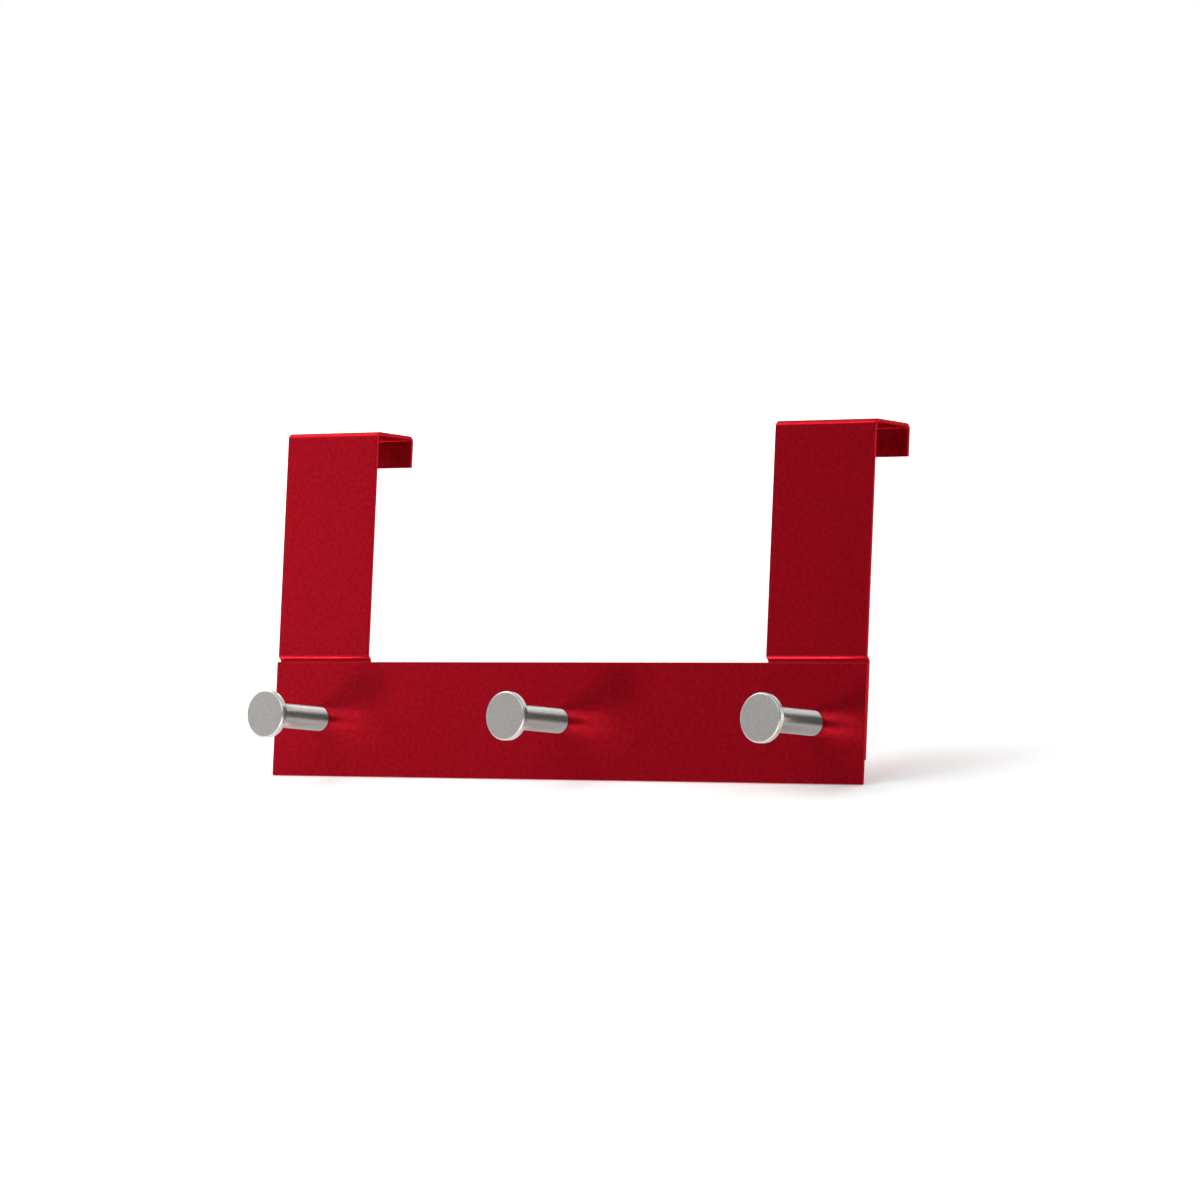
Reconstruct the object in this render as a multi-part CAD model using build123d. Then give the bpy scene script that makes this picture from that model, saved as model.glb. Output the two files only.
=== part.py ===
from build123d import *
from math import acos, degrees, radians, sin, tan
import os

# Over-door hook rack: a flat face plate hung from two folded straps, with three turned coat pegs.
#
# Frame: +X to the right seen from the front, +Y back over the door, +Z up, in millimetres. The origin is at
# mid-width in the inner corner of the hooks, so the straps' back faces lie on y = 0 and the undersides of
# their top flanges, which sit on the door's top edge, lie on z = 0.

# Sheet metal, the same for the plate and the straps
SHEET = 1.5
BEND_RADIUS = 0.8  # inside every fold
EDGE_BREAK = 0.3  # cut edges, broken for painting

# Face plate
PLATE_WIDTH = 300.0
PLATE_HEIGHT = 47.0
PLATE_CORNER = 0.6

# Straps
STRAP_WIDTH = 48.0
STRAP_INSET = 0.5  # from the plate's end to the strap's outer edge
STRAP_DROP = 94.7  # from the top of the flange to the plate's top edge
DOOR_GAP = 20.5  # between the strap and its lip
LIP_HEIGHT = 13.0  # over the flange
SEAM = 0.3  # from the plate's top edge up to the foot of the joggle
TAB_EDGE_DISTANCE = 14.0  # from the screw hole's centre to the tab's lower end

# Pegs
PEG_REACH = 34.5  # from the plate's face to the head's face
SHAFT_DIAMETER = 10.0
FOOT_CHAMFER = 0.3
HEAD_DIAMETER = 19.5
HEAD_THICKNESS = 2.8
HEAD_BEVEL = 0.5  # round the head's face
HEAD_BACK_BEVEL = 0.3

# Low-head screws, one behind each peg
SCREW_DIAMETER = 4.0
SCREW_LENGTH = 8.0  # under the head
SCREW_TIP_CHAMFER = 0.5
SCREW_HEAD_DIAMETER = 8.0
SCREW_HEAD_HEIGHT = 1.5
SCREW_HEAD_EDGE = 0.6  # height of the head's rim, below its crown
RECESS_SPAN = 4.2
RECESS_WIDTH = 1.0
RECESS_DEPTH = 0.9
SHEET_HOLE_CLEARANCE = 0.25  # round the screw, in the plate and the tabs
THREAD_CLEARANCE = 0.05  # round the screw, in the peg
TAPPED_HOLE_SPARE = 1.5  # past the tip of the deepest screw
DRILL_POINT_ANGLE = 118.0

# Places that follow from the sizes
PLATE_TOP = SHEET - STRAP_DROP
PEG_Z = PLATE_TOP - PLATE_HEIGHT / 2
STRAP_X = PLATE_WIDTH / 2 - STRAP_INSET - STRAP_WIDTH / 2
TAB_END = PEG_Z - TAB_EDGE_DISTANCE
LIP_END = SHEET - LIP_HEIGHT
TAPPED_HOLE_DEPTH = SCREW_LENGTH - SHEET + TAPPED_HOLE_SPARE
SIDES = {"left": -1, "right": 1}

# A turned piece is drawn along +Z and then laid so that it points forward, out of the plate
FORWARD = Rot(90, 0, 0)
FROM_BASE = (Align.CENTER, Align.CENTER, Align.MIN)


def strap_path():
    """Mid-line of the folded strip in the (y, z) plane, from the lip's free end to the tab's free end."""
    bend = BEND_RADIUS + SHEET / 2
    turn = degrees(acos(1 - SHEET / (2 * bend)))
    joggle_height = 2 * bend * sin(radians(turn))
    front = -SHEET / 2
    back = DOOR_GAP + SHEET / 2
    hook = FilletPolyline(
        (back, LIP_END),
        (back, SHEET / 2),
        (front, SHEET / 2),
        (front, PLATE_TOP + SEAM + joggle_height),
        radius=bend,
    )
    step_back = JernArc(hook @ 1, hook % 1, bend, turn)
    step_down = JernArc(step_back @ 1, step_back % 1, bend, -turn)
    tab = Line(step_down @ 1, (SHEET / 2, TAB_END))
    return Curve() + [hook, step_back, step_down, tab]


def screw_hole(x):
    """Clearance hole for one screw, right through the plate and a tab."""
    radius = SCREW_DIAMETER / 2 + SHEET_HOLE_CLEARANCE
    both_sheets = 2 * SHEET
    return Pos(x, 0, PEG_Z) * FORWARD * Cylinder(radius, 2 * both_sheets)


def strap(x):
    """One strip folded over the door, with a joggle at its foot that puts the tab behind the plate."""
    strip = extrude(Plane.YZ * trace(strap_path(), SHEET), STRAP_WIDTH / 2, both=True)
    cut_sides = strip.faces().filter_by(Axis.X)
    cut_ends = strip.faces().filter_by(Axis.Z).sort_by(SortBy.AREA)[:2]
    cut_edges = set(cut_sides.edges() + cut_ends.edges())
    strip = chamfer(cut_edges, EDGE_BREAK)
    return Pos(x, 0, 0) * strip - screw_hole(x)


def face_plate():
    """The flat plate in front of the tabs, flush with the faces of the straps."""
    plate = Pos(0, -SHEET / 2, PEG_Z) * Box(PLATE_WIDTH, SHEET, PLATE_HEIGHT)
    plate = fillet(plate.edges().filter_by(Axis.Y), PLATE_CORNER)
    plate = chamfer(plate.faces().filter_by(Axis.Y).edges(), EDGE_BREAK)
    for x in (-STRAP_X, 0, STRAP_X):
        plate -= screw_hole(x)
    return plate


def peg(x):
    """One peg turned from bar: a plain shaft, a thin round head, and a blind tapped hole in its foot."""
    shaft = SHAFT_DIAMETER / 2
    head = HEAD_DIAMETER / 2
    neck = PEG_REACH - HEAD_THICKNESS
    outline = Polyline(
        (0, 0),
        (shaft - FOOT_CHAMFER, 0),
        (shaft, FOOT_CHAMFER),
        (shaft, neck),
        (head - HEAD_BACK_BEVEL, neck),
        (head, neck + HEAD_BACK_BEVEL),
        (head, PEG_REACH - HEAD_BEVEL),
        (head - HEAD_BEVEL, PEG_REACH),
        (0, PEG_REACH),
        close=True,
    )
    turned = revolve(Plane.XZ * make_face(outline), Axis.Z) - tapped_hole()
    return Pos(x, -SHEET, PEG_Z) * FORWARD * turned


def tapped_hole():
    """Blind hole in a peg's foot, at the size that clears the screw's thread, with a drilled point."""
    radius = SCREW_DIAMETER / 2 + THREAD_CLEARANCE
    point = radius / tan(radians(DRILL_POINT_ANGLE / 2))
    outline = Polyline(
        (0, 0),
        (radius, 0),
        (radius, TAPPED_HOLE_DEPTH),
        (0, TAPPED_HOLE_DEPTH + point),
        close=True,
    )
    return revolve(Plane.XZ * make_face(outline), Axis.Z)


def screw(x, seat):
    """One low-head screw with a crowned head and a cross recess, its head seated at y = seat."""
    shank = SCREW_DIAMETER / 2
    head = SCREW_HEAD_DIAMETER / 2
    crown = TangentArc((0, -SCREW_HEAD_HEIGHT), (head, -SCREW_HEAD_EDGE), tangent=(1, 0))
    sides = Polyline(
        crown @ 1,
        (head, 0),
        (shank, 0),
        (shank, SCREW_LENGTH - SCREW_TIP_CHAMFER),
        (shank - SCREW_TIP_CHAMFER, SCREW_LENGTH),
        (0, SCREW_LENGTH),
        crown @ 0,
    )
    turned = revolve(Plane.XZ * make_face(Curve() + [crown, sides]), Axis.Z)
    slot = Pos(0, 0, -SCREW_HEAD_HEIGHT) * Box(RECESS_SPAN, RECESS_WIDTH, RECESS_DEPTH, align=FROM_BASE)
    turned -= slot
    turned -= Rot(0, 0, 90) * slot
    return Pos(x, seat, PEG_Z) * FORWARD * turned


def peg_screws():
    """The three screws: the outer two clamp a tab and the plate, the middle one the plate alone."""
    screws = [screw(0, 0)]
    for side in SIDES.values():
        screws.append(screw(side * STRAP_X, SHEET))
    return Compound(children=screws)


def rack():
    """Every piece of the rack by its name."""
    pieces = {"face_plate": face_plate(), "peg_middle": peg(0), "peg_screws": peg_screws()}
    for name, side in SIDES.items():
        pieces[f"strap_{name}"] = strap(side * STRAP_X)
        pieces[f"peg_{name}"] = peg(side * STRAP_X)
    return pieces


os.makedirs("parts", exist_ok=True)
for name, piece in rack().items():
    export_step(piece, f"parts/{name}.step")
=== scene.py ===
"""Looks of the over-door hook rack: red sheet straps and face plate, satin steel pegs and their screws.

Everything is in metres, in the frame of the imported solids: +X to the right along the plate, +Y back over
the door, +Z up, with the origin in the inner corner of the hooks.
"""

import logging
import math
from dataclasses import dataclass
from enum import Enum

import bmesh
import bpy
from mathutils import Matrix, Vector


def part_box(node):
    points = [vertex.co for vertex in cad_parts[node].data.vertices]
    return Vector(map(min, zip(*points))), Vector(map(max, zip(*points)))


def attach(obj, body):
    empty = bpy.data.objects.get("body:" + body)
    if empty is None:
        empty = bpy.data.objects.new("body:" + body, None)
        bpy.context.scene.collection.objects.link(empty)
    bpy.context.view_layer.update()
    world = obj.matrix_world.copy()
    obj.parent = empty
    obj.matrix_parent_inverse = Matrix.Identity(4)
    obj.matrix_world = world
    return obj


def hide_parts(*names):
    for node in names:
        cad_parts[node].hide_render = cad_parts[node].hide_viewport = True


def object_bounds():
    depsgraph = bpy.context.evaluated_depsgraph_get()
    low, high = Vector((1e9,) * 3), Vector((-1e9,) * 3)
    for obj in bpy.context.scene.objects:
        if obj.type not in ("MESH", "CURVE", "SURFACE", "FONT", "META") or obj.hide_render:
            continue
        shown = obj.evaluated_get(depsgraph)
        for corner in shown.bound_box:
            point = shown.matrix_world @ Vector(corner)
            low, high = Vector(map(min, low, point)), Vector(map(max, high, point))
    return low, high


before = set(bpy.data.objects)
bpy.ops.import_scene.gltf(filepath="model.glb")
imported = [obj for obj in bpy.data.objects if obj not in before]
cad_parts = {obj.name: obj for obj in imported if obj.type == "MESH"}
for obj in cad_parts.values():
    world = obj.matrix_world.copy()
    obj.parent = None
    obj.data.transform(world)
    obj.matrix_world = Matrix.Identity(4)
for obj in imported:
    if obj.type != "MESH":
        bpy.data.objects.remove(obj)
CAD_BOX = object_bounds()

LOG = logging.getLogger("hook_rack")
MM = 0.001
BODY = "root"
ALONG_PLATE = Vector((1.0, 0.0, 0.0))
FORWARD = Vector((0.0, -1.0, 0.0))
UP = Vector((0.0, 0.0, 1.0))
STRAPS = ("hook_strap_left", "hook_strap_right")
PEGS = ("coat_peg_left", "coat_peg_middle", "coat_peg_right")
SHARP_CORNER = math.radians(40.0)
SAME_POINT = 0.001 * MM
ROUND_PROFILE = 0.5
SOFT_STEPS = 3  # on a turned corner
NOISE_LOW = 0.3  # a noise mostly stays between these two
NOISE_HIGH = 0.7
GRAIN_DETAIL = 2.0
BLOTCH_DETAIL = 3.0
LINE_DETAIL = 3.0

Colour = tuple[float, float, float]
Pair = tuple[float, float]


class Slot(Enum):
    """The material slots of the record."""

    RED_PAINT = "red_paint"
    SATIN_STEEL = "satin_steel"
    ZINC_STEEL = "zinc_steel"


class Side(Enum):
    """The places along the plate, each with the ending of its pieces' names."""

    LEFT = "left"
    MIDDLE = "middle"
    RIGHT = "right"


class Rounded(Enum):
    """What a rounding works on."""

    EDGES = "EDGES"
    CORNERS = "VERTICES"


class ShaderTree:
    """A node tree with short calls to add nodes and join them."""

    def __init__(self, tree: bpy.types.NodeTree) -> None:
        """Takes the tree over and empties it.

        Args:
            tree: the node tree of a material, a world or a group.
        """
        self.tree = tree
        tree.nodes.clear()

    def add(self, kind: str, **settings: object) -> bpy.types.Node:
        """Adds a node.

        Args:
            kind: the node's type, without its ShaderNode prefix.
            settings: the node's own properties, by name.

        Returns:
            The new node.
        """
        node = self.tree.nodes.new("ShaderNode" + kind)
        for name, value in settings.items():
            setattr(node, name, value)
        return node

    def join(self, start: bpy.types.NodeSocket, end: bpy.types.NodeSocket) -> None:
        """Links an output to an input."""
        self.tree.links.new(start, end)

    def compute(self, operation: str, *terms: bpy.types.NodeSocket | float) -> bpy.types.NodeSocket:
        """Works a value out of others.

        Args:
            operation: the operation, as the Math node names it.
            terms: outputs of other nodes, or numbers.

        Returns:
            The value.
        """
        node = self.add("Math", operation=operation)
        for term, place in zip(terms, node.inputs):
            if isinstance(term, float):
                place.default_value = term
            else:
                self.join(term, place)
        return node.outputs["Value"]

    def ramp(
        self, value: bpy.types.NodeSocket, start: Pair, end: Pair, course: str = "LINEAR"
    ) -> bpy.types.NodeSocket:
        """Maps a value to a range, and holds it past both ends.

        Args:
            value: the value.
            start: a value, and what becomes of it.
            end: a higher value, and what becomes of it.
            course: the way from one to the other, as the Map Range node names it.

        Returns:
            The mapped value.
        """
        node = self.add("MapRange", interpolation_type=course)
        node.inputs["From Min"].default_value, node.inputs["To Min"].default_value = start
        node.inputs["From Max"].default_value, node.inputs["To Max"].default_value = end
        self.join(value, node.inputs["Value"])
        return node.outputs["Result"]

    def spread(self, noise: bpy.types.NodeSocket, low: float, high: float) -> bpy.types.NodeSocket:
        """Maps a noise, which keeps to its middle, to a whole range."""
        return self.ramp(noise, (NOISE_LOW, low), (NOISE_HIGH, high))

    def remap(self, share: bpy.types.NodeSocket, at_0: float, at_1: float) -> bpy.types.NodeSocket:
        """Maps a share from 0 to 1 to a range."""
        return self.ramp(share, (0.0, at_0), (1.0, at_1))

    def blend(self, factor: bpy.types.NodeSocket, dark: Colour, light: Colour) -> bpy.types.NodeSocket:
        """Mixes two colours.

        Args:
            factor: 0 for the first colour, 1 for the second.
            dark: the first colour, linear red, green and blue.
            light: the second colour.

        Returns:
            The mixed colour.
        """
        node = self.add("Mix", data_type="RGBA")
        node.inputs["A"].default_value = (*dark, 1.0)
        node.inputs["B"].default_value = (*light, 1.0)
        self.join(factor, node.inputs["Factor"])
        return node.outputs["Result"]

    def mottle(self, blotch: bpy.types.NodeSocket, colour: Colour, change: float) -> bpy.types.NodeSocket:
        """Makes a colour darker and lighter from blotch to blotch.

        Args:
            blotch: a noise.
            colour: the colour midway, linear red, green and blue.
            change: the share of its brightness that it loses and gains.

        Returns:
            The mottled colour.
        """
        dark = shaded(colour, 1.0 - change)
        light = shaded(colour, 1.0 + change)
        return self.blend(self.spread(blotch, 0.0, 1.0), dark, light)

    def place_group(
        self, group: bpy.types.NodeTree, vector: bpy.types.NodeSocket, scales: dict[str, float]
    ) -> bpy.types.Node:
        """Places a node group.

        Args:
            group: the group.
            vector: the coordinates that it reads.
            scales: its other inputs by name, each the number of marks in a metre.

        Returns:
            The group's node.
        """
        node = self.add("Group", node_tree=group)
        self.join(vector, node.inputs["Vector"])
        for name, scale in scales.items():
            node.inputs[name].default_value = scale
        return node

    def bump(self, shader: bpy.types.Node, height: bpy.types.NodeSocket, depth: float) -> None:
        """Raises a surface.

        Args:
            shader: the shader whose normal it turns.
            height: the height, from 0 to 1.
            depth: the height of 1, in metres.
        """
        node = self.add("Bump")
        node.inputs["Strength"].default_value = 1.0
        node.inputs["Distance"].default_value = depth
        self.join(height, node.inputs["Height"])
        self.join(node.outputs["Normal"], shader.inputs["Normal"])

    def background_rays(self, *kinds: str) -> bpy.types.NodeSocket:
        """Picks out the rays that show the background.

        Args:
            kinds: the Light Path outputs to pick beside camera rays.

        Returns:
            1 for such a ray and 0 for any other.
        """
        path = self.add("LightPath")
        seen = path.outputs["Is Camera Ray"]
        for kind in kinds:
            seen = self.compute("MAXIMUM", seen, path.outputs[kind])
        return seen

    def ring(self, centre: Vector, near: Pair, far: Pair) -> bpy.types.NodeSocket:
        """A value that changes with the distance from a point.

        Args:
            centre: the point.
            near: a distance and the value there.
            far: a farther distance and the value there.

        Returns:
            The value.
        """
        away = self.add("VectorMath", operation="DISTANCE")
        away.inputs[1].default_value = centre
        self.join(self.add("TexCoord").outputs["Object"], away.inputs[0])
        return self.ramp(away.outputs["Value"], near, far, "SMOOTHSTEP")


def shaded(colour: Colour, share: float) -> Colour:
    """A colour times a share of its brightness."""
    return tuple(channel * share for channel in colour)


def open_group(
    name: str, scales: tuple[str, ...], values: tuple[str, ...]
) -> tuple[ShaderTree, bpy.types.Node, bpy.types.Node]:
    """Starts a node group that reads coordinates.

    Args:
        name: the group's name.
        scales: the names of its other inputs.
        values: the names of its outputs.

    Returns:
        The group's tree, and the nodes that hold its inputs and its outputs.
    """
    group = bpy.data.node_groups.new(name, "ShaderNodeTree")
    group.interface.new_socket("Vector", in_out="INPUT", socket_type="NodeSocketVector")
    for scale in scales:
        group.interface.new_socket(scale, in_out="INPUT", socket_type="NodeSocketFloat")
    for value in values:
        group.interface.new_socket(value, in_out="OUTPUT", socket_type="NodeSocketFloat")
    sheet = ShaderTree(group)
    return sheet, group.nodes.new("NodeGroupInput"), group.nodes.new("NodeGroupOutput")


def surface_grain() -> bpy.types.NodeTree:
    """Node group of the fine unevenness of a sprayed, blasted or plated surface.

    Returns:
        The group, with a fine height for bump, and a slow blotch for colour and gloss.
    """
    made = bpy.data.node_groups.get("surface_grain")
    if made:
        return made
    scales = ("Grain Scale", "Blotch Scale")
    values = ("Height", "Blotch")
    sheet, given, result = open_group("surface_grain", scales, values)
    for scale, value, detail in zip(scales, values, (GRAIN_DETAIL, BLOTCH_DETAIL)):
        noise = sheet.add("TexNoise")
        noise.inputs["Detail"].default_value = detail
        sheet.join(given.outputs["Vector"], noise.inputs["Vector"])
        sheet.join(given.outputs[scale], noise.inputs["Scale"])
        sheet.join(noise.outputs["Fac"], result.inputs[value])
    return sheet.tree


def turning_lines() -> bpy.types.NodeTree:
    """Node group of the fine lines that a lathe leaves round an axis along Y.

    Returns:
        The group: lines in rings on faces and in bands along shafts, from 0 to 1.
    """
    made = bpy.data.node_groups.get("turning_lines")
    if made:
        return made
    sheet, given, result = open_group("turning_lines", ("Line Scale",), ("Lines",))
    place = sheet.add("SeparateXYZ")
    sheet.join(given.outputs["Vector"], place.inputs["Vector"])
    across = sheet.add("CombineXYZ")
    sheet.join(place.outputs["X"], across.inputs["X"])
    sheet.join(place.outputs["Z"], across.inputs["Y"])
    radius = sheet.add("VectorMath", operation="LENGTH")
    sheet.join(across.outputs["Vector"], radius.inputs[0])
    along = sheet.compute("ADD", radius.outputs["Value"], place.outputs["Y"])
    lines = sheet.add("TexNoise", noise_dimensions="1D")
    lines.inputs["Detail"].default_value = LINE_DETAIL
    sheet.join(along, lines.inputs["W"])
    sheet.join(given.outputs["Line Scale"], lines.inputs["Scale"])
    sheet.join(lines.outputs["Fac"], result.inputs["Lines"])
    return sheet.tree


def start_finish(name: str) -> tuple[bpy.types.Material, ShaderTree, bpy.types.Node]:
    """Makes a material with a Principled shader on its output.

    Args:
        name: the material's name.

    Returns:
        The material, its node tree and the shader.
    """
    material = bpy.data.materials.new(name)
    material.use_nodes = True
    sheet = ShaderTree(material.node_tree)
    shader = sheet.add("BsdfPrincipled")
    output = sheet.add("OutputMaterial")
    sheet.join(shader.outputs["BSDF"], output.inputs["Surface"])
    return material, sheet, shader


@dataclass(frozen=True)
class RedLacquer:
    """Satin red lacquer on sheet steel, with the steel's fine lines in it and a painted reflection: glossy
    rays see its front as bare grey steel.
    """

    colour: Colour = (0.41, 0.0052, 0.0145)
    # Painted reflection: the colour, metallic and reach of the rack's front as glossy rays see it.
    painted_reflection_grey: Colour = (0.50, 0.49, 0.48)
    painted_reflection_metallic: float = 0.90
    painted_reflection_depth: float = 10.0 * MM
    tone_change: float = 0.20
    metallic: float = 0.60
    roughness: float = 0.24
    roughness_change: float = 0.015
    specular: float = 0.06
    grazing_tint: Colour = (0.9, 0.10, 0.14)
    coat_weight: float = 0.03
    coat_roughness: float = 0.20
    brush_scale: float = 3200.0
    brush_stretch: float = 0.02
    brush_depth: float = 0.055 * MM
    blotch_scale: float = 620.0

    def material(self) -> bpy.types.Material:
        """Makes the material.

        Returns:
            The material of the plate and both straps.
        """
        material, sheet, shader = start_finish("red_lacquer")
        place = sheet.add("TexCoord").outputs["Object"]
        brushed = sheet.add("Mapping")
        brushed.inputs["Scale"].default_value = (1.0, self.brush_stretch, self.brush_stretch)
        sheet.join(place, brushed.inputs["Vector"])
        fine = {"Grain Scale": self.brush_scale}
        lines = sheet.place_group(surface_grain(), brushed.outputs["Vector"], fine)
        grain = sheet.place_group(surface_grain(), place, {"Blotch Scale": self.blotch_scale})
        painted = sheet.mottle(grain.outputs["Blotch"], self.colour, self.tone_change)
        # Painted reflection: for glossy rays the front of the rack turns bare grey steel, more metallic, in
        # place of the mottled red.
        painted_reflection_mask = self.painted_reflection_mask(sheet, place)
        red_or_painted_reflection = sheet.add("Mix", data_type="RGBA")
        red_or_painted_reflection.inputs["B"].default_value = (*self.painted_reflection_grey, 1.0)
        sheet.join(painted_reflection_mask, red_or_painted_reflection.inputs["Factor"])
        sheet.join(painted, red_or_painted_reflection.inputs["A"])
        sheet.join(red_or_painted_reflection.outputs["Result"], shader.inputs["Base Color"])
        metallic = sheet.remap(painted_reflection_mask, self.metallic, self.painted_reflection_metallic)
        sheet.join(metallic, shader.inputs["Metallic"])
        matt = self.roughness + self.roughness_change
        glossy = self.roughness - self.roughness_change
        sheet.join(sheet.spread(grain.outputs["Blotch"], matt, glossy), shader.inputs["Roughness"])
        shader.inputs["Specular IOR Level"].default_value = self.specular
        shader.inputs["Specular Tint"].default_value = (*self.grazing_tint, 1.0)
        shader.inputs["Coat Weight"].default_value = self.coat_weight
        shader.inputs["Coat Roughness"].default_value = self.coat_roughness
        sheet.bump(shader, lines.outputs["Height"], self.brush_depth)
        return material

    def painted_reflection_mask(self, sheet: ShaderTree, place: bpy.types.NodeSocket) -> bpy.types.NodeSocket:
        """Picks out where the lacquer gets a painted reflection: glossy rays that reach the front of the
        rack, as from the pegs and the lips, see bare grey steel there in place of red.

        Args:
            sheet: the material's node tree.
            place: the object's coordinates.

        Returns:
            1 where a reflection shows the front of the rack, and 0 elsewhere.
        """
        depth = sheet.add("SeparateXYZ")
        sheet.join(place, depth.inputs["Vector"])
        front = sheet.compute("LESS_THAN", depth.outputs["Y"], self.painted_reflection_depth)
        return sheet.compute("MULTIPLY", front, sheet.add("LightPath").outputs["Is Glossy Ray"])


@dataclass(frozen=True)
class TurnedSteel:
    """Stainless steel turned from bar and blasted to a satin."""

    colour: Colour = (0.625, 0.607, 0.585)
    tone_change: float = 0.10
    shaft_roughness: float = 0.20
    face_roughness: float = 0.42
    face_depth: float = 0.4 * MM
    grain_scale: float = 2600.0
    grain_depth: float = 0.009 * MM
    blotch_scale: float = 1300.0
    line_scale: float = 5200.0
    line_depth: float = 0.002 * MM
    line_roughness: float = 0.03

    def material(self, name: str, axis: Vector, reach: float) -> bpy.types.Material:
        """Makes the material of one peg.

        Args:
            name: the peg's name.
            axis: the middle of its foot, on its axis of turning.
            reach: from there to the face of its head.

        Returns:
            The material.
        """
        material, sheet, shader = start_finish("satin_steel_" + name)
        place = sheet.add("TexCoord").outputs["Object"]
        centred = sheet.add("Mapping")
        centred.inputs["Location"].default_value = -axis
        sheet.join(place, centred.inputs["Vector"])
        scales = {"Grain Scale": self.grain_scale, "Blotch Scale": self.blotch_scale}
        grain = sheet.place_group(surface_grain(), place, scales)
        turned = {"Line Scale": self.line_scale}
        lines = sheet.place_group(turning_lines(), centred.outputs["Vector"], turned)
        steel = sheet.mottle(grain.outputs["Blotch"], self.colour, self.tone_change)
        sheet.join(steel, shader.inputs["Base Color"])
        face = self.facing_cut(sheet, centred.outputs["Vector"], reach)
        satin = sheet.remap(face, self.shaft_roughness, self.face_roughness)
        lathed = sheet.spread(lines.outputs["Lines"], -self.line_roughness, self.line_roughness)
        sheet.join(sheet.compute("ADD", satin, lathed), shader.inputs["Roughness"])
        shader.inputs["Metallic"].default_value = 1.0
        line_share = self.line_depth / self.grain_depth
        height = sheet.compute("MULTIPLY_ADD", lines.outputs["Lines"], line_share, grain.outputs["Height"])
        sheet.bump(shader, height, self.grain_depth)
        return material

    def facing_cut(
        self, sheet: ShaderTree, vector: bpy.types.NodeSocket, reach: float
    ) -> bpy.types.NodeSocket:
        """Tells the blasted face of the head from the smooth shaft.

        Args:
            sheet: the material's node tree.
            vector: coordinates from the middle of the foot.
            reach: from there to the face of the head.

        Returns:
            1 on the face and 0 behind its rim.
        """
        place = sheet.add("SeparateXYZ")
        sheet.join(vector, place.inputs["Vector"])
        return sheet.ramp(place.outputs["Y"], (-reach, 1.0), (-reach + self.face_depth, 0.0))


@dataclass(frozen=True)
class ZincPlate:
    """Bright zinc plating on the screws."""

    colour: Colour = (0.62, 0.63, 0.65)
    warm: Colour = (0.60, 0.59, 0.55)
    bright_roughness: float = 0.24
    dull_roughness: float = 0.34
    grain_scale: float = 3000.0
    grain_depth: float = 0.003 * MM
    blotch_scale: float = 400.0

    def material(self) -> bpy.types.Material:
        """Makes the material.

        Returns:
            The material of every screw.
        """
        material, sheet, shader = start_finish("zinc_plate")
        place = sheet.add("TexCoord").outputs["Object"]
        scales = {"Grain Scale": self.grain_scale, "Blotch Scale": self.blotch_scale}
        grain = sheet.place_group(surface_grain(), place, scales)
        tone = sheet.spread(grain.outputs["Blotch"], 0.0, 1.0)
        sheet.join(sheet.blend(tone, self.warm, self.colour), shader.inputs["Base Color"])
        dulled = sheet.spread(grain.outputs["Blotch"], self.dull_roughness, self.bright_roughness)
        sheet.join(dulled, shader.inputs["Roughness"])
        shader.inputs["Metallic"].default_value = 1.0
        sheet.bump(shader, grain.outputs["Height"], self.grain_depth)
        return material


def sharp_edges(mesh: bmesh.types.BMesh) -> list[bmesh.types.BMEdge]:
    """The edges where two faces meet at a corner, and not along a bend."""
    return [edge for edge in mesh.edges if edge.calc_face_angle(0.0) > SHARP_CORNER]


def round_off(
    mesh: bmesh.types.BMesh,
    parts: list[bmesh.types.BMEdge | bmesh.types.BMVert],
    what: Rounded,
    reach: float,
    steps: int,
) -> None:
    """Rounds edges of a skin, or corners of an outline made of edges alone.

    Args:
        mesh: the mesh that holds them.
        parts: the edges, or the vertices at the corners.
        what: which of the two they are.
        reach: how far the rounding reaches on each side.
        steps: steps of the rounding.
    """
    bmesh.ops.bevel(
        mesh,
        geom=parts,
        offset=reach,
        offset_type="OFFSET",
        segments=steps,
        profile=ROUND_PROFILE,
        affect=what.value,
        clamp_overlap=False,
        material=-1,
    )


def turn(mesh: bmesh.types.BMesh, centre: Vector, steps: int) -> None:
    """Turns an outline once round an axis along Y, and closes the seam and the poles.

    Args:
        mesh: the outline, of edges alone, which becomes the turned skin.
        centre: a point on the axis.
        steps: facets round the axis.
    """
    bmesh.ops.spin(
        mesh,
        geom=mesh.verts[:] + mesh.edges[:],
        cent=centre,
        axis=FORWARD,
        angle=2 * math.pi,
        steps=steps,
        use_merge=True,
    )
    bmesh.ops.remove_doubles(mesh, verts=mesh.verts[:], dist=SAME_POINT)
    bmesh.ops.recalc_face_normals(mesh, faces=mesh.faces[:])


def draw_outline(mesh: bmesh.types.BMesh, points: list[Vector]) -> list[bmesh.types.BMVert]:
    """Draws an open outline.

    Args:
        mesh: the mesh to draw it in.
        points: its corners in order.

    Returns:
        Its vertices in order.
    """
    corners = [mesh.verts.new(point) for point in points]
    for start, end in zip(corners, corners[1:]):
        mesh.edges.new((start, end))
    return corners


def make_object(name: str, mesh: bmesh.types.BMesh, material: bpy.types.Material) -> bpy.types.Object:
    """Makes an object at the origin from a mesh whose place is in its vertices.

    Args:
        name: the object's name.
        mesh: the mesh, which is used up.
        material: its material.

    Returns:
        The object, with all its faces smooth.
    """
    data = bpy.data.meshes.new(name)
    for face in mesh.faces:
        face.smooth = True
    mesh.to_mesh(data)
    mesh.free()
    data.materials.append(material)
    made = bpy.data.objects.new(name, data)
    bpy.context.scene.collection.objects.link(made)
    return made


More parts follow.
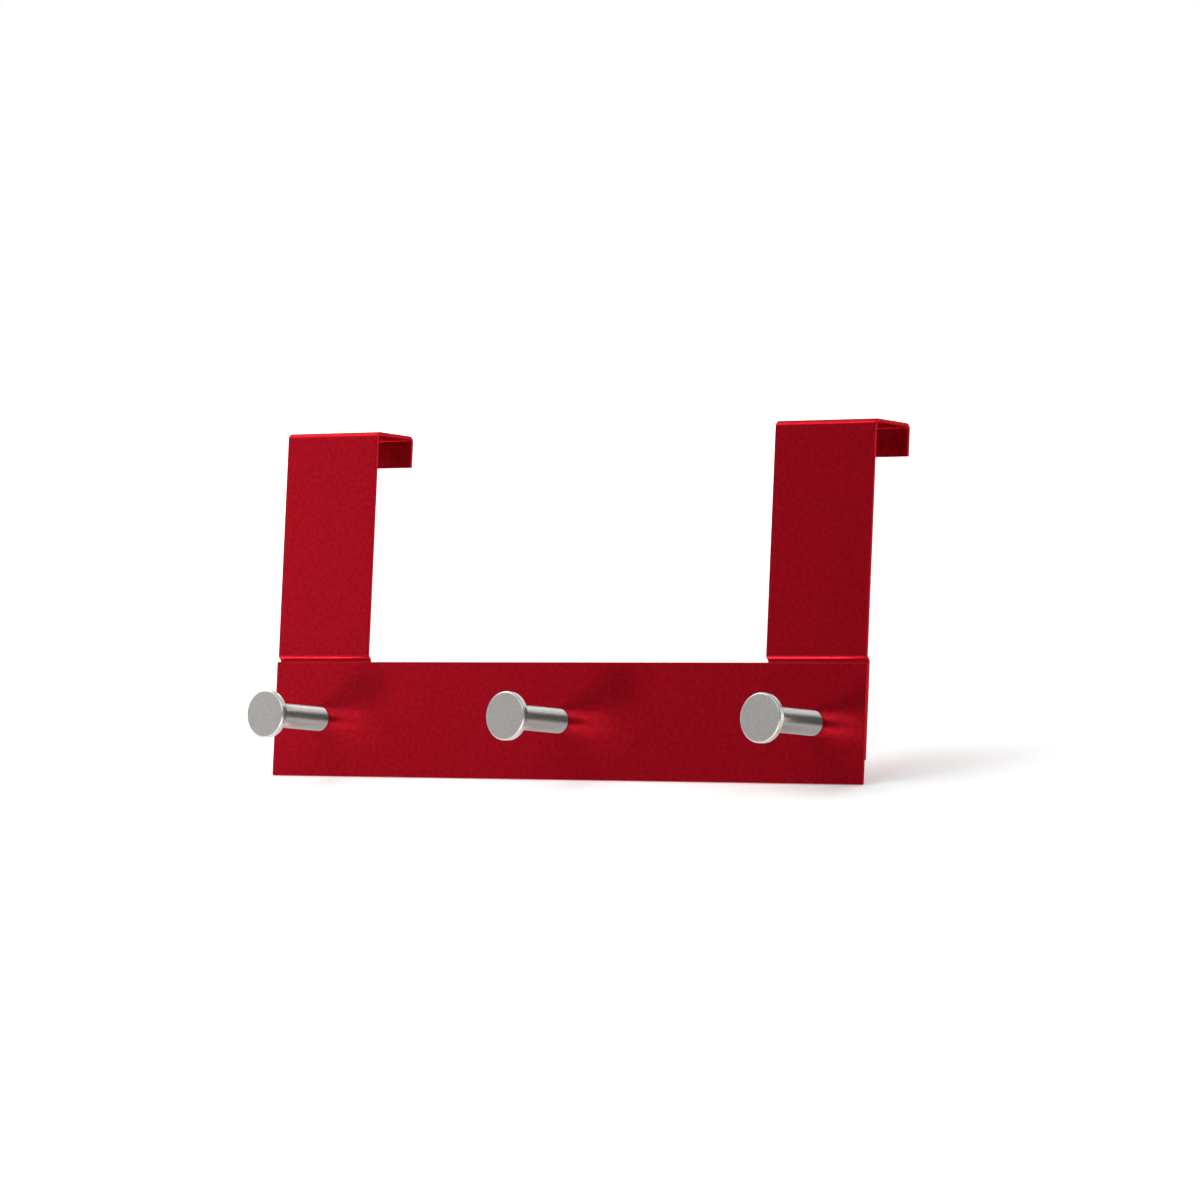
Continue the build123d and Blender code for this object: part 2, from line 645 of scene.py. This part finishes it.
def cut_out(piece: bpy.types.Object, tool_mesh: bmesh.types.BMesh) -> None:
    """Cuts a closed tool shape out of a piece and leaves no tool behind.

    Args:
        piece: the piece, whose mesh is changed.
        tool_mesh: the tool's shape, which is used up.
    """
    tool = make_object("cutting_tool", tool_mesh, piece.data.materials[0])
    cut = piece.modifiers.new("cut", "BOOLEAN")
    cut.operation = "DIFFERENCE"
    cut.solver = "EXACT"
    cut.object = tool
    seen = piece.evaluated_get(bpy.context.evaluated_depsgraph_get())
    whole = piece.data
    piece.data = bpy.data.meshes.new_from_object(seen)
    piece.modifiers.remove(cut)
    piece.data.name = whole.name
    used_up = tool.data
    bpy.data.objects.remove(tool)
    bpy.data.meshes.remove(used_up)
    bpy.data.meshes.remove(whole)


def dress(piece: bpy.types.Object, node: str) -> bpy.types.Object:
    """Puts a finished piece in the place of its solid, with its large faces shaded flat.

    Args:
        piece: the piece, at the origin.
        node: the solid's node.

    Returns:
        The piece.
    """
    piece.data.set_sharp_from_angle(angle=SHARP_CORNER)
    soften = piece.modifiers.new("flat_faces_stay_flat", "WEIGHTED_NORMAL")
    soften.mode = "FACE_AREA"
    soften.keep_sharp = True
    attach(piece, BODY)
    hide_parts(node)
    return piece


@dataclass(frozen=True)
class SheetSteel:
    """The sheet that the plate and the straps are cut from."""

    thickness: float = 1.5 * MM
    bend_radius: float = 0.8 * MM
    edge_radius: float = 0.3 * MM
    edge_segments: int = 4
    bend_steps: int = 20
    hole_radius: float = 2.25 * MM
    hole_facets: int = 48
    drill_reach: float = 4.0 * MM

    def drill(self, piece: bpy.types.Object, centre: Vector) -> None:
        """Drills a screw hole right through a piece, along Y.

        Args:
            piece: the piece.
            centre: a point on the hole's axis, in the piece.
        """
        tool = bmesh.new()
        bmesh.ops.create_cone(
            tool,
            cap_ends=True,
            segments=self.hole_facets,
            radius1=self.hole_radius,
            radius2=self.hole_radius,
            depth=2 * self.drill_reach,
        )
        lay = Matrix.Translation(centre) @ Matrix.Rotation(math.pi / 2, 4, "X")
        bmesh.ops.transform(tool, matrix=lay, verts=tool.verts[:])
        cut_out(piece, tool)

    def break_edges(self, mesh: bmesh.types.BMesh) -> None:
        """Rounds the edges where a mesh was cut from the sheet."""
        round_off(mesh, sharp_edges(mesh), Rounded.EDGES, self.edge_radius, self.edge_segments)


class FoldedStrip:
    """A strip that is drawn through its folds, one run or fold at a time, in a plane across X."""

    def __init__(self, sheet: SheetSteel, width: float, start: Vector, heading: Vector) -> None:
        """Starts the strip with its cut end.

        Args:
            sheet: the sheet that it is cut from.
            width: the strip's width, along X.
            start: the middle of its cut end.
            heading: the way that it runs from there.
        """
        self.sheet = sheet
        self.place = start.copy()
        self.heading = heading.copy()
        self.mesh = bmesh.new()
        side = ALONG_PLATE * width / 2
        face = ALONG_PLATE.cross(heading) * sheet.thickness / 2
        corners = [start + side + face, start - side + face, start - side - face, start + side - face]
        self.end = self.mesh.faces.new([self.mesh.verts.new(corner) for corner in corners])

    def run(self, length: float) -> None:
        """Runs straight on.

        Args:
            length: how far.
        """
        grown = bmesh.ops.extrude_face_region(self.mesh, geom=[self.end])["geom"]
        self.end = next(part for part in grown if isinstance(part, bmesh.types.BMFace))
        bmesh.ops.translate(self.mesh, verts=self.end.verts[:], vec=self.heading * length)
        self.place += self.heading * length

    def fold(self, angle: float) -> None:
        """Folds round the sheet's inside radius.

        Args:
            angle: turn about +X, in radians.
        """
        middle_radius = self.sheet.bend_radius + self.sheet.thickness / 2
        inward = ALONG_PLATE.cross(self.heading) * math.copysign(middle_radius, angle)
        centre = self.place + inward
        steps = math.ceil(self.sheet.bend_steps * abs(angle) / (math.pi / 2))
        grown = bmesh.ops.spin(
            self.mesh, geom=[self.end], cent=centre, axis=ALONG_PLATE, angle=angle, steps=steps
        )["geom_last"]
        self.end = next(part for part in grown if isinstance(part, bmesh.types.BMFace))
        turned = Matrix.Rotation(angle, 3, "X")
        self.place = centre + turned @ (self.place - centre)
        self.heading = turned @ self.heading

    def finished(self) -> bmesh.types.BMesh:
        """Takes out the walls left across the strip, breaks the cut edges and hands the mesh over.

        Returns:
            The strip's mesh.
        """
        walls = [face for face in self.mesh.faces if all(len(edge.link_faces) > 2 for edge in face.edges)]
        bmesh.ops.delete(self.mesh, geom=walls, context="FACES_ONLY")
        bmesh.ops.recalc_face_normals(self.mesh, faces=self.mesh.faces[:])
        self.sheet.break_edges(self.mesh)
        return self.mesh


@dataclass
class HookStrap:
    """One strip folded over the door, with a joggle at its foot that puts the tab behind the plate."""

    side: Side
    sheet: SheetSteel
    lip_height: float = 13.0 * MM
    seam: float = 0.3 * MM

    def build(self, plate_top: float, peg_z: float, material: bpy.types.Material) -> bpy.types.Object:
        """Folds the strap and drills its tab.

        Args:
            plate_top: height of the plate's top edge.
            peg_z: height of the screw hole.
            material: the strap's finish.

        Returns:
            The finished piece.
        """
        node = "strap_" + self.side.value
        low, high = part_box(node)
        thickness = self.sheet.thickness
        inside = self.sheet.bend_radius
        middle_radius = inside + thickness / 2
        quarter = math.pi / 2
        middle_x = (low.x + high.x) / 2
        door_gap = high.y - thickness
        lip_end = high.z - self.lip_height
        joggle_turn = math.acos(1 - thickness / (2 * middle_radius))
        joggle_height = 2 * middle_radius * math.sin(joggle_turn)
        joggle_top = plate_top + self.seam + joggle_height
        start = Vector((middle_x, door_gap + thickness / 2, lip_end))
        strip = FoldedStrip(self.sheet, high.x - low.x, start, UP)
        strip.run(-inside - lip_end)
        strip.fold(quarter)
        strip.run(door_gap - 2 * inside)
        strip.fold(quarter)
        strip.run(-inside - joggle_top)
        strip.fold(joggle_turn)
        strip.fold(-joggle_turn)
        strip.run(plate_top + self.seam - low.z)
        piece = make_object("hook_" + node, strip.finished(), material)
        self.sheet.drill(piece, Vector((middle_x, thickness / 2, peg_z)))
        return dress(piece, node)


@dataclass
class FacePlate:
    """The flat plate in front of the tabs."""

    sheet: SheetSteel
    corner_radius: float = 0.6 * MM
    corner_segments: int = 6

    def build(self, hole_places: list[Vector], material: bpy.types.Material) -> bpy.types.Object:
        """Cuts the plate, rounds it and drills it.

        Args:
            hole_places: a point on the axis of each screw hole.
            material: the plate's finish.

        Returns:
            The finished piece.
        """
        low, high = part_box("face_plate")
        mesh = bmesh.new()
        bmesh.ops.create_cube(mesh, size=1.0)
        place = Matrix.Translation((low + high) / 2) @ Matrix.Diagonal((*(high - low), 1.0))
        bmesh.ops.transform(mesh, matrix=place, verts=mesh.verts[:])
        upright = [edge for edge in mesh.edges if abs((edge.verts[0].co - edge.verts[1].co).y) > SAME_POINT]
        round_off(mesh, upright, Rounded.EDGES, self.corner_radius, self.corner_segments)
        bmesh.ops.recalc_face_normals(mesh, faces=mesh.faces[:])
        self.sheet.break_edges(mesh)
        piece = make_object("front_face_plate", mesh, material)
        for hole in hole_places:
            self.sheet.drill(piece, hole)
        return dress(piece, "face_plate")


@dataclass
class CoatPeg:
    """One peg turned from bar: a plain shaft, a thin round head and a blind hole in its foot."""

    side: Side
    shaft_radius: float = 5.0 * MM
    head_thickness: float = 2.8 * MM
    head_bevel: float = 0.5 * MM
    head_back_bevel: float = 0.3 * MM
    foot_chamfer: float = 0.3 * MM
    edge_softness: float = 0.12 * MM
    hole_radius: float = 2.05 * MM
    hole_depth: float = 8.0 * MM
    drill_point: float = 1.23 * MM
    facets: int = 128

    @property
    def node(self) -> str:
        """The peg's node."""
        return "peg_" + self.side.value

    def axis(self) -> Vector:
        """The middle of the peg's foot, on the plate's face."""
        low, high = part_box(self.node)
        return Vector(((low.x + high.x) / 2, high.y, (low.z + high.z) / 2))

    def build(self, finish: TurnedSteel) -> bpy.types.Object:
        """Turns the peg.

        Args:
            finish: the peg's finish.

        Returns:
            The finished piece.
        """
        low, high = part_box(self.node)
        foot = self.axis()
        head = (high.x - low.x) / 2
        reach = high.y - low.y
        neck = reach - self.head_thickness
        blind_hole = [
            (0.0, self.hole_depth + self.drill_point),
            (self.hole_radius, self.hole_depth),
            (self.hole_radius, 0.0),
        ]
        outside = [
            (self.shaft_radius - self.foot_chamfer, 0.0),
            (self.shaft_radius, self.foot_chamfer),
            (self.shaft_radius, neck),
            (head - self.head_back_bevel, neck),
            (head, neck + self.head_back_bevel),
            (head, reach - self.head_bevel),
            (head - self.head_bevel, reach),
        ]
        face_middle = (0.0, reach)
        outline = [*blind_hole, *outside, face_middle]
        mesh = bmesh.new()
        corners = draw_outline(mesh, [foot + ALONG_PLATE * r + FORWARD * s for r, s in outline])
        round_off(mesh, corners[len(blind_hole):-1], Rounded.CORNERS, self.edge_softness, SOFT_STEPS)
        turn(mesh, foot, self.facets)
        piece = make_object("coat_" + self.node, mesh, finish.material(self.node, foot, reach))
        return dress(piece, self.node)


@dataclass
class PegScrews:
    """The low-head screws that hold the pegs from behind."""

    head_radius: float = 4.0 * MM
    head_height: float = 1.5 * MM
    rim_height: float = 0.6 * MM
    rim_softness: float = 0.12 * MM
    shank_radius: float = 2.0 * MM
    shank_length: float = 8.0 * MM
    tip_chamfer: float = 0.5 * MM
    recess_span: float = 4.2 * MM
    recess_width: float = 1.0 * MM
    recess_depth: float = 0.9 * MM
    recess_taper: float = 0.7
    facets: int = 64
    crown_steps: int = 10

    def screw(self, seat: Vector) -> bmesh.types.BMesh:
        """Turns one screw.

        Args:
            seat: the middle of the face under its head.

        Returns:
            The screw's mesh.
        """
        rise = self.head_height - self.rim_height
        crown_radius = (self.head_radius**2 + rise**2) / (2 * rise)
        crown_angle = math.asin(self.head_radius / crown_radius)
        mesh = bmesh.new()
        top = mesh.verts.new(seat - FORWARD * self.head_height)
        crown = bmesh.ops.spin(
            mesh,
            geom=[top],
            cent=seat + FORWARD * (crown_radius - self.head_height),
            axis=UP,
            angle=-crown_angle,
            steps=self.crown_steps,
        )["geom_last"]
        rim = next(part for part in crown if isinstance(part, bmesh.types.BMVert))
        sides = [
            (self.head_radius, 0.0),
            (self.shank_radius, 0.0),
            (self.shank_radius, self.shank_length - self.tip_chamfer),
            (self.shank_radius - self.tip_chamfer, self.shank_length),
            (0.0, self.shank_length),
        ]
        corners = draw_outline(mesh, [seat + ALONG_PLATE * r + FORWARD * s for r, s in sides])
        mesh.edges.new((rim, corners[0]))
        round_off(mesh, [rim, corners[0]], Rounded.CORNERS, self.rim_softness, SOFT_STEPS)
        turn(mesh, seat, self.facets)
        return mesh

    def recess(self, seat: Vector, turned: float) -> bmesh.types.BMesh:
        """One slot of the cross recess, narrower at its bottom.

        Args:
            seat: the middle of the face under the screw's head.
            turned: the slot's turn about the screw's axis.

        Returns:
            The cutting shape.
        """
        mesh = bmesh.new()
        bmesh.ops.create_cube(mesh, size=1.0)
        bottom = [corner for corner in mesh.verts if corner.co.y < 0]
        bmesh.ops.scale(mesh, verts=bottom, vec=(self.recess_taper, 1.0, self.recess_taper))
        place = (
            Matrix.Translation(seat - FORWARD * self.head_height)
            @ Matrix.Rotation(turned, 4, "Y")
            @ Matrix.Diagonal((self.recess_span, 2 * self.recess_depth, self.recess_width, 1.0))
        )
        bmesh.ops.transform(mesh, matrix=place, verts=mesh.verts[:])
        return mesh

    def build(self, seats: list[Vector], material: bpy.types.Material) -> bpy.types.Object:
        """Turns every screw into one piece.

        Args:
            seats: the middle of the face under each head.
            material: the screws' finish.

        Returns:
            The finished piece.
        """
        together = bmesh.new()
        for seat in seats:
            one = make_object("one_screw", self.screw(seat), material)
            for turned in (math.pi / 4, -math.pi / 4):
                cut_out(one, self.recess(seat, turned))
            together.from_mesh(one.data)
            used_up = one.data
            bpy.data.objects.remove(one)
            bpy.data.meshes.remove(used_up)
        piece = make_object("rear_peg_screws", together, material)
        return dress(piece, "peg_screws")


@dataclass
class PhotoCamera:
    """A long lens at the photograph's viewing angle."""

    lens_mm: float = 191.77
    sensor_mm: float = 36.0
    yaw: float = math.radians(38.182)
    elevation: float = math.radians(-3.562)
    roll: float = math.radians(2.442)
    target: Vector = Vector((17.112 * MM, 0.0, -68.287 * MM))
    distance: float = 2543.8 * MM

    def build(self) -> None:
        """Sets the camera up and makes it the scene's own."""
        data = bpy.data.cameras.new("photo_camera")
        data.lens = self.lens_mm
        data.sensor_width = self.sensor_mm
        camera = bpy.data.objects.new("photo_camera", data)
        turned = (
            Matrix.Rotation(self.yaw, 4, "Z")
            @ Matrix.Rotation(math.pi / 2 - self.elevation, 4, "X")
            @ Matrix.Rotation(self.roll, 4, "Z")
        )
        away = turned @ Vector((0.0, 0.0, self.distance))
        camera.matrix_world = Matrix.Translation(self.target + away) @ turned
        bpy.context.scene.collection.objects.link(camera)
        bpy.context.scene.camera = camera


@dataclass(frozen=True)
class Softbox:
    """A soft lamp: its place and size, how bright its face is beside a white wall, and what it lights."""

    name: str
    place: tuple[float, float, float]
    size: Pair
    brightness: float
    lights_matt: bool = True
    lights_gloss: bool = True
    only_on: tuple[str, ...] = ()

    def build(self, target: Vector) -> bpy.types.Object:
        """Hangs the lamp.

        Args:
            target: the point that it faces.

        Returns:
            The lamp.
        """
        data = bpy.data.lights.new(self.name, "AREA")
        data.shape = "RECTANGLE"
        data.size, data.size_y = self.size
        data.energy = self.brightness * math.pi * self.size[0] * self.size[1]
        lamp = bpy.data.objects.new(self.name, data)
        lamp.location = self.place
        lamp.rotation_euler = (target - lamp.location).to_track_quat("-Z", "Y").to_euler()
        lamp.visible_camera = False
        lamp.visible_diffuse = self.lights_matt
        lamp.visible_glossy = self.lights_gloss
        bpy.context.scene.collection.objects.link(lamp)
        if self.only_on:
            lit = bpy.data.collections.new(self.name + "_lit")
            for name in self.only_on:
                lit.objects.link(bpy.data.objects[name])
            lamp.light_linking.receiver_collection = lit
        return lamp


def shine_through(lamp: bpy.types.Object, floor: bpy.types.Object) -> None:
    """Lets a lamp under the floor shine up through it, as through a translucent table.

    Args:
        lamp: the lamp.
        floor: the floor.
    """
    blockers = bpy.data.collections.new(lamp.name + "_blockers")
    blockers.objects.link(floor)
    blockers.collection_objects[0].light_linking.link_state = "EXCLUDE"
    lamp.light_linking.blocker_collection = blockers


@dataclass
class Studio:
    """A pale floor, soft lamps over it and under it, and a white surround that is dimmer in front."""

    floor_tilt: float = math.radians(14.0)
    floor_reach: float = 4.0
    floor_cells: int = 8
    floor_grey: float = 0.80
    lift_centre: Vector = Vector((-0.35, -0.25, -0.14))
    lift_near: Pair = (0.45, 0.0)
    lift_far: Pair = (1.60, 0.80)
    # Painted shade: the floor glows less near the rack's right foot, so it stays darker there.
    painted_shade_centre: Vector = Vector((0.15, 0.03, -0.137))
    painted_shade_near: Pair = (0.01, 0.14)
    painted_shade_far: Pair = (0.11, 0.42)
    surround_front: Pair = (-0.7, 0.12)
    surround_back: Pair = (0.3, 1.0)
    lamps: tuple[Softbox, ...] = (
        Softbox("key_softbox", (-0.70, -0.42, 0.75), (1.3, 0.6), 2.7),
        Softbox("front_softbox", (-0.05, -1.0, 0.72), (1.1, 0.6), 2.0),
        Softbox("left_panel", (-0.72, -0.43, 0.166), (0.51, 0.61), 0.61),
        Softbox("right_panel", (0.40, -0.85, 0.40), (0.5, 0.4), 3.0, only_on=PEGS),
    )
    table_lamps: tuple[Softbox, ...] = (
        Softbox("table_softbox", (-0.64, -0.74, -0.386), (0.26, 0.26), 32.0, lights_gloss=False),
        Softbox("table_strip", (-0.54, -0.42, -0.72), (0.60, 0.35), 7.0, lights_matt=False, only_on=STRAPS),
        Softbox("table_panel", (0.45, -0.80, -0.60), (0.5, 0.3), 2.5, only_on=PEGS),
    )

    def floor(self) -> bpy.types.Object:
        """Lays the floor under the plate's lower edge, sloping down to the viewer.

        Returns:
            The floor.
        """
        low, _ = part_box("face_plate")
        mesh = bmesh.new()
        cells = self.floor_cells
        bmesh.ops.create_grid(mesh, x_segments=cells, y_segments=cells, size=self.floor_reach)
        place = Matrix.Translation((0.0, 0.0, low.z)) @ Matrix.Rotation(self.floor_tilt, 4, "X")
        bmesh.ops.transform(mesh, matrix=place, verts=mesh.verts[:])
        floor = make_object("studio_floor", mesh, self.floor_material())
        return floor

    def floor_lift(self, sheet: ShaderTree) -> bpy.types.NodeSocket:
        """How much white the floor adds to the light it gets, more where the lamps no longer reach, and
        less near the rack's right foot, which is painted shade.

        Args:
            sheet: the floor's node tree.

        Returns:
            The strength, for rays that show the background.
        """
        lift = sheet.ring(self.lift_centre, self.lift_near, self.lift_far)
        # Painted shade: less glow close to the rack's right foot darkens the floor there.
        clear = sheet.ring(self.painted_shade_centre, self.painted_shade_near, self.painted_shade_far)
        seen = sheet.background_rays("Is Glossy Ray", "Is Transmission Ray")
        return sheet.compute("MULTIPLY", sheet.compute("ADD", lift, clear), seen)

    def floor_material(self) -> bpy.types.Material:
        """Matt white, and clear from below.

        Returns:
            The floor's material.
        """
        material = bpy.data.materials.new("studio_floor")
        material.use_nodes = True
        sheet = ShaderTree(material.node_tree)
        matt = sheet.add("BsdfDiffuse")
        matt.inputs["Color"].default_value = (self.floor_grey,) * 3 + (1.0,)
        lift = sheet.add("Emission")
        sheet.join(self.floor_lift(sheet), lift.inputs["Strength"])
        both = sheet.add("AddShader")
        sheet.join(matt.outputs["BSDF"], both.inputs[0])
        sheet.join(lift.outputs["Emission"], both.inputs[1])
        clear = sheet.add("BsdfTransparent")
        under = sheet.add("NewGeometry")
        choose = sheet.add("MixShader")
        sheet.join(under.outputs["Backfacing"], choose.inputs["Fac"])
        sheet.join(both.outputs["Shader"], choose.inputs[1])
        sheet.join(clear.outputs["BSDF"], choose.inputs[2])
        output = sheet.add("OutputMaterial")
        sheet.join(choose.outputs["Shader"], output.inputs["Surface"])
        return material

    def surround(self) -> None:
        """White backdrop all round to the camera, and to the object white behind and dim in front."""
        world = bpy.data.worlds.new("studio_surround")
        world.use_nodes = True
        bpy.context.scene.world = world
        sheet = ShaderTree(world.node_tree)
        toward = sheet.add("SeparateXYZ")
        sheet.join(sheet.add("TexCoord").outputs["Generated"], toward.inputs["Vector"])
        glow = sheet.ramp(toward.outputs["Y"], self.surround_front, self.surround_back, "SMOOTHSTEP")
        white = sheet.compute("MAXIMUM", glow, sheet.background_rays("Is Transmission Ray"))
        shine = sheet.add("Background")
        sheet.join(white, shine.inputs["Color"])
        output = sheet.add("OutputWorld")
        sheet.join(shine.outputs["Background"], output.inputs["Surface"])

    def build(self) -> None:
        """Sets up the floor, the lamps, the surround and the camera."""
        bpy.context.scene.view_settings.view_transform = "Standard"
        floor = self.floor()
        self.surround()
        low, high = CAD_BOX
        middle = (low + high) / 2
        for lamp in self.lamps:
            lamp.build(middle)
        for lamp in self.table_lamps:
            shine_through(lamp.build(middle), floor)
        PhotoCamera().build()


@dataclass
class HookRack:
    """The whole rack: a plate, two straps, three pegs and their screws."""

    sheet: SheetSteel = SheetSteel()

    def build(self) -> list[bpy.types.Object]:
        """Makes every piece, from the plate outwards.

        Returns:
            The pieces.
        """
        red = RedLacquer().material()
        pegs = [CoatPeg(side) for side in Side]
        feet = [peg.axis() for peg in pegs]
        _, plate_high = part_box("face_plate")
        pieces = [FacePlate(self.sheet).build(feet, red)]
        for side in (Side.LEFT, Side.RIGHT):
            pieces.append(HookStrap(side, self.sheet).build(plate_high.z, feet[0].z, red))
        for peg in pegs:
            pieces.append(peg.build(TurnedSteel()))
        seats = []
        for side, foot in zip(Side, feet):
            seat_y = plate_high.y if side is Side.MIDDLE else plate_high.y + self.sheet.thickness
            seats.append(Vector((foot.x, seat_y, foot.z)))
        pieces.append(PegScrews().build(seats, ZincPlate().material()))
        return pieces


def main() -> None:
    """Builds the rack, reports each piece of it, and builds the studio round it."""
    logging.basicConfig(level=logging.INFO, format="%(name)s %(message)s")
    for piece in HookRack().build():
        LOG.info("%s: %d faces, %s", piece.name, len(piece.data.polygons), piece.data.materials[0].name)
    Studio().build()


if __name__ == "__main__":
    main()
